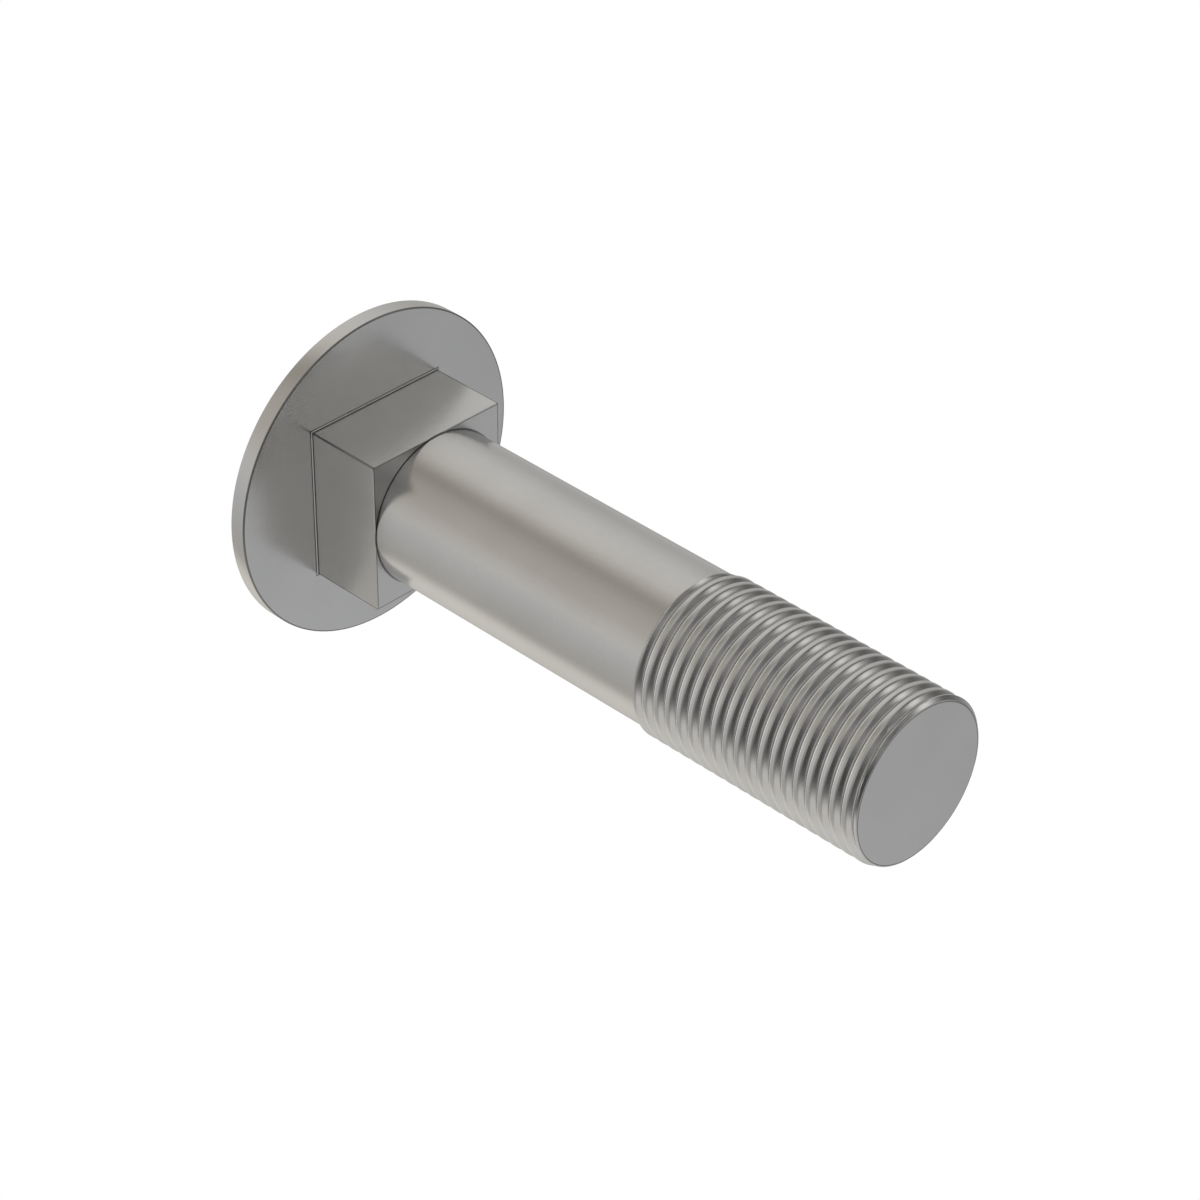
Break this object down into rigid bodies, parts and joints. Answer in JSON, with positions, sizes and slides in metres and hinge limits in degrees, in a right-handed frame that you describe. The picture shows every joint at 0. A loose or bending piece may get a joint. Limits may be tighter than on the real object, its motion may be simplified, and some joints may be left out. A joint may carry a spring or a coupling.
{
  "type": "carriage bolt",
  "caption": "Round-head bolt with a square neck under a low domed head, a plain reduced shank and a fine rolled thread on the end.",
  "frame": {"origin": "centre of the flat threaded end face, on which the bolt stands", "axes": "+Z along the bolt's axis from the threaded end to the head, +X and +Y square to the flats of the square neck"},
  "size_m": [0.0242, 0.0242, 0.0546],
  "materials": {
    "steel": "satin, plain zinc-grey steel, drawn and rolled, uncoated"
  },
  "bodies": {
    "root": {"bolt": "steel"}
  },
  "joints": []
}
